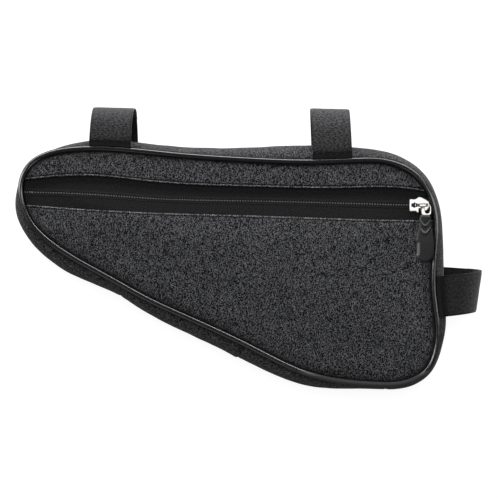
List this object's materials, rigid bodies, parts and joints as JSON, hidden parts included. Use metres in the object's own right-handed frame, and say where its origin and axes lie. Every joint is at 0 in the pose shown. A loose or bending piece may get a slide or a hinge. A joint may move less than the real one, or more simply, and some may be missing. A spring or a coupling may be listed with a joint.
{
  "type": "bicycle frame bag",
  "caption": "Padded triangular bicycle frame bag with a long zip, piped seams, a bulging gusset and hook-and-loop strap loops, lying on its back.",
  "frame": {"origin": "on the back panel's outer face, under the middle of the front seam's length and height", "axes": "+X from the nose to the tall end, +Y from the lower edge to the edge with two straps, +Z out of the zipped front"},
  "size_m": [0.4305, 0.2615, 0.0595],
  "materials": {
    "heather": "heathered grey polyester, woven",
    "piping": "glossy black vinyl cord",
    "zip_tape": "black twill tape",
    "webbing": "hook-and-loop tape",
    "nickel": "bright nickel plate on cast zinc",
    "rubber": "moulded soft black rubber"
  },
  "bodies": {
    "bag": {"front_panel_upper": "heather", "front_panel_lower": "heather", "gusset": "heather", "back_panel": "heather", "front_piping": "piping", "back_piping": "piping", "zip_tape_upper": "zip_tape", "zip_tape_lower": "zip_tape", "zip_coil": "zip_tape", "zip_slider": "nickel", "strap_rear_loop": "webbing", "strap_rear_hook": "webbing", "strap_front_loop": "webbing", "strap_front_hook": "webbing", "strap_side_loop": "webbing", "strap_side_hook": "webbing"},
    "pull": {"pull_tab": "nickel", "pull_grip": "rubber"}
  },
  "joints": [
    {"name": "pull_lift", "type": "hinge", "parent": "bag", "child": "pull", "pos_m": [0.17699, 0.05515, 0.0568], "axis": [-1, 0, 0], "range_deg": [0, 170]}
  ]
}
